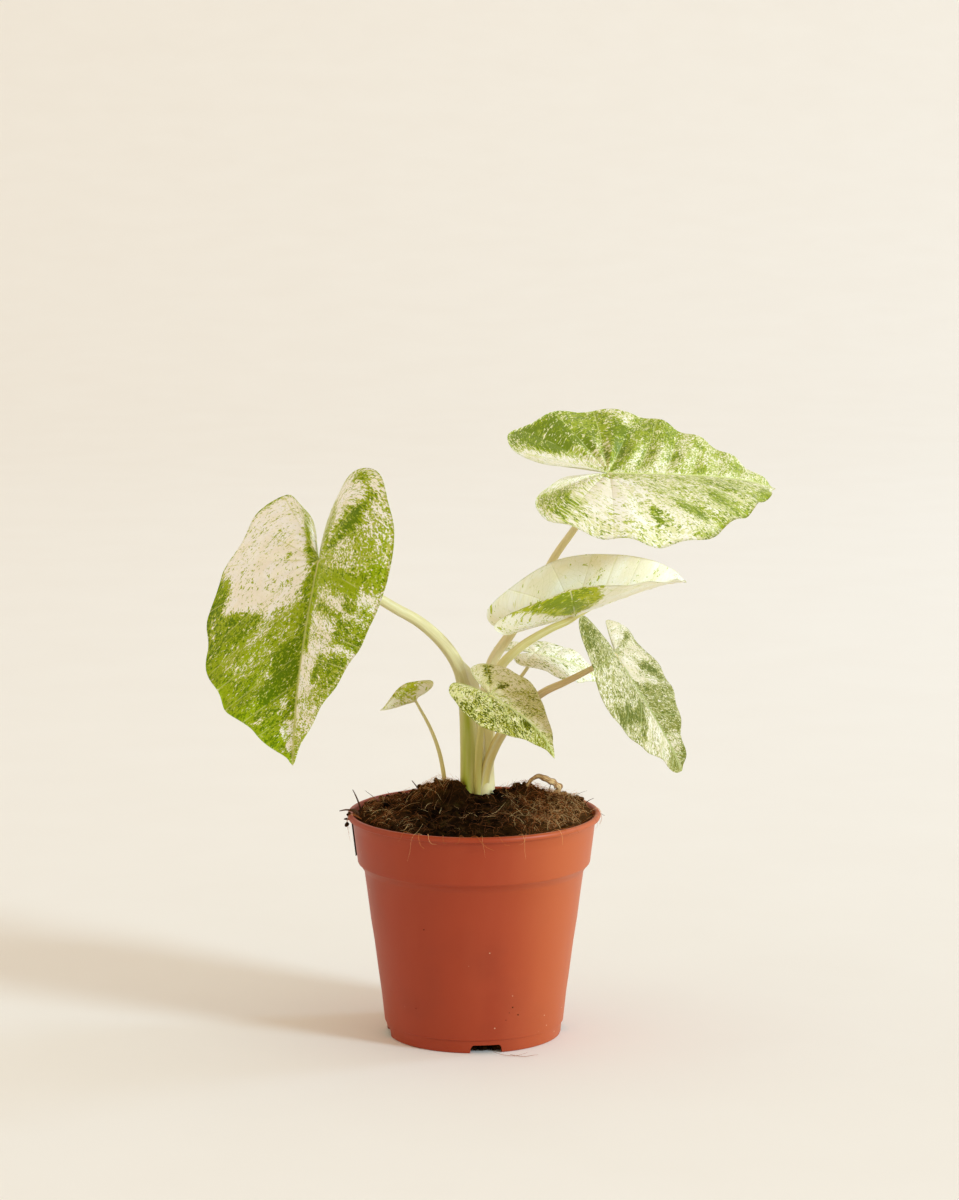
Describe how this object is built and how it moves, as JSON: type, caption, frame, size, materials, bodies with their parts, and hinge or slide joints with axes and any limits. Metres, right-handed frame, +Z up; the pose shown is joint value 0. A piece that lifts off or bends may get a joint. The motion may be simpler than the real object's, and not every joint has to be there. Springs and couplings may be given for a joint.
{
  "type": "potted variegated giant taro",
  "caption": "Young aroid with heart-shaped, cream and green variegated leaves on fleshy stalks, rooted in peat and coir in a round plastic nursery pot.",
  "frame": {"origin": "centre of the pot's base, in the plane that it stands on", "axes": "+Z up along the pot's axis, -Y towards the front, +X to the right seen from the front"},
  "size_m": [0.2709, 0.1766, 0.2934],
  "materials": {
    "pot_plastic": "terracotta-coloured moulded polypropylene, satin",
    "label_film": "plain dark film, matt",
    "peat": "moist dark peat with tan coir strands",
    "dry_sheath": "dry, papery, light brown",
    "stalk": "fleshy, pale yellow-green, satin",
    "stalk_tan": "fleshy, tan-green, satin",
    "leaf_green": "waxy green blade splashed with cream",
    "leaf_pale": "waxy cream blade with fine green flecks"
  },
  "bodies": {
    "root": {"pot": "pot_plastic", "label": "label_film", "soil": "peat", "dry_shred": "dry_sheath", "stalk_large_left": "stalk", "stalk_large_right": "stalk", "stalk_folded_right": "stalk", "stalk_drooping_right": "stalk_tan", "stalk_small_front": "stalk", "stalk_pale_back": "stalk", "stalk_tiny_left": "stalk", "blade_large_left": "leaf_green", "blade_large_right": "leaf_green", "blade_folded_right": "leaf_pale", "blade_drooping_right": "leaf_green", "blade_small_front": "leaf_green", "blade_pale_back": "leaf_pale", "blade_tiny_left": "leaf_green"}
  },
  "joints": []
}
